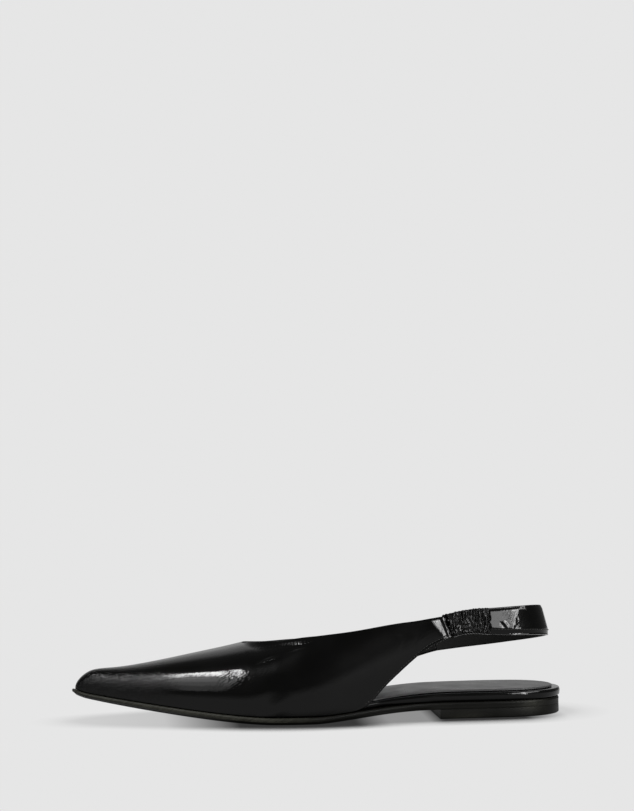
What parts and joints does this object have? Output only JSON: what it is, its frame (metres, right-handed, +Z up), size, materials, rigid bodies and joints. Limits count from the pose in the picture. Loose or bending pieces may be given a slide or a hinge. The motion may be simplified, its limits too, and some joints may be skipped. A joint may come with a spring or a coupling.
{
  "type": "slingback shoe",
  "caption": "Left slingback flat with a pointed closed toe, open back, elastic-gathered strap round the heel, thin sole and low heel block, in black patent leather.",
  "frame": {"origin": "on the floor under the middle of the shoe's box", "axes": "+X towards the heel, the toe points along -X; +Y towards the inner side of the foot; +Z up"},
  "size_m": [0.2706, 0.0802, 0.0605],
  "materials": {
    "patent_leather": "high gloss, finely crinkled",
    "sock_leather": "satin",
    "sole_rubber": "satin, polished edge"
  },
  "bodies": {
    "root": {"outsole": "sole_rubber", "heel": "sole_rubber", "insole": "patent_leather", "sock": "sock_leather", "upper": "patent_leather", "elastic": "patent_leather", "back_strap": "patent_leather"}
  },
  "joints": []
}
